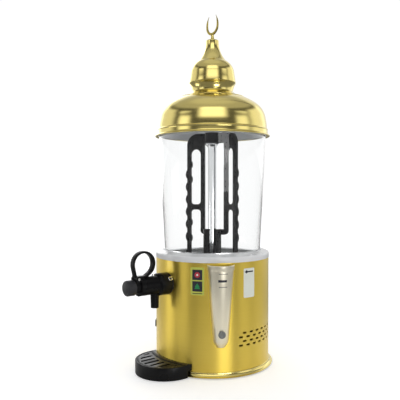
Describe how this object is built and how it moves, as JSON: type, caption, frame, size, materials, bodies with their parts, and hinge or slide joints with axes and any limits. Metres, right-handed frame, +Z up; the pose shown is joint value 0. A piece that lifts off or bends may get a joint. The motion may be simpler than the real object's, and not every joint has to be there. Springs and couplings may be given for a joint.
{
  "type": "hot chocolate dispenser machine",
  "caption": "Countertop hot drink dispenser: clear bowl with turning stirrer on a round gold water bath casing, push-in tap, drip tray and lift-off domed lid.",
  "frame": {"origin": "on the table under the middle of the round casing", "axes": "+Z up along the casing's axis; the tap and the drip tray point along -Y"},
  "size_m": [0.2243, 0.291, 0.613],
  "materials": {
    "gold_brushed": "brushed",
    "gold_polished": "polished",
    "gold_pale": "satin",
    "steel": "satin",
    "motor_metal": "satin",
    "clear_plastic": "clear",
    "white_plastic": "satin",
    "grey_plastic": "satin",
    "black_plastic": "satin",
    "black_rubber": "matte",
    "grey_rubber": "matte"
  },
  "bodies": {
    "base": {"rubber_feet": "black_rubber", "foot_screws": "steel", "base_plate": "steel", "base_ring": "gold_polished", "body_casing": "gold_brushed", "top_collar": "steel", "water_bath": "steel", "steel_pot": "steel", "standpipe": "steel", "heating_element": "steel", "bowl_gasket": "grey_rubber", "motor_shelf": "steel", "shelf_posts": "steel", "shelf_screws": "steel", "gear_motor": "motor_metal", "shaft_bushes": "white_plastic", "tap_body": "black_plastic", "tap_gaskets": "black_rubber", "tap_locknut": "black_plastic", "tap_end_cap": "black_plastic", "lever_pin": "steel", "rod_seal": "grey_rubber", "tap_spring": "steel", "fill_pocket": "gold_pale", "fill_duct": "steel", "switch_housing": "black_plastic", "thermostat_body": "black_plastic", "cable_gland": "black_plastic"},
    "stirrer": {"drive_shaft": "steel", "shaft_coupling": "steel", "drive_dog": "steel", "stirrer_paddle": "black_plastic", "stirrer_cap": "black_plastic"},
    "bowl": {"clear_bowl": "clear_plastic"},
    "lid": {"lid_dome": "gold_polished", "lid_liner": "grey_plastic", "finial_base": "gold_polished", "finial_onion": "gold_polished", "finial_tie_rod": "steel", "finial_stud": "gold_polished", "crescent": "gold_polished"},
    "lever": {"tap_lever": "black_plastic"},
    "piston": {"tap_piston": "black_plastic", "valve_disc": "grey_rubber"},
    "rocker": {"switch_rocker": "black_plastic"},
    "knob": {"thermostat_knob": "black_plastic"},
    "tray": {"drip_tray": "black_plastic"},
    "grille": {"drip_grille": "black_plastic"},
    "plug": {"drain_plug": "grey_rubber"}
  },
  "joints": [
    {"name": "stirrer_spin", "type": "hinge", "parent": "base", "child": "stirrer", "pos_m": [0, 0, 0.3], "axis": [0, 0, 1], "continuous": true},
    {"name": "bowl_lift", "type": "slide", "parent": "base", "child": "bowl", "axis": [0, 0, 1], "range_m": [0, 0.225]},
    {"name": "lid_lift", "type": "slide", "parent": "bowl", "child": "lid", "axis": [0, 0, 1], "range_m": [0, 0.06]},
    {"name": "lever_swing", "type": "hinge", "parent": "base", "child": "lever", "pos_m": [0, -0.1595, 0.1615], "axis": [1, 0, 0], "range_deg": [0, 30], "stiffness_Nm_per_rad": 0.6, "springref_deg": -20.05},
    {"name": "piston_travel", "type": "slide", "parent": "base", "child": "piston", "axis": [0, 1, 0], "range_m": [0, 0.0062], "deforming": ["tap_spring"]},
    {"name": "switch_tilt", "type": "hinge", "parent": "base", "child": "rocker", "pos_m": [-0.06524, -0.07246, 0.066], "axis": [0, 0, -1], "range_deg": [0, 12]},
    {"name": "thermostat_turn", "type": "hinge", "parent": "base", "child": "knob", "pos_m": [-0.09962, -0.00872, 0.055], "axis": [-0.9962, -0.0872, 0], "range_deg": [0, 270]},
    {"name": "tray_slide", "type": "slide", "parent": "base", "child": "tray", "axis": [0, -1, 0], "range_m": [0, 0.08]},
    {"name": "grille_lift", "type": "slide", "parent": "tray", "child": "grille", "axis": [0, 0, 1], "range_m": [0, 0.03]},
    {"name": "plug_pull", "type": "slide", "parent": "base", "child": "plug", "axis": [0.8434, -0.5373, 0], "range_m": [0, 0.02]}
  ],
  "couplings": [
    {"joint": "piston_travel", "follows": "lever_swing", "m_per_rad": 0.01146}
  ]
}
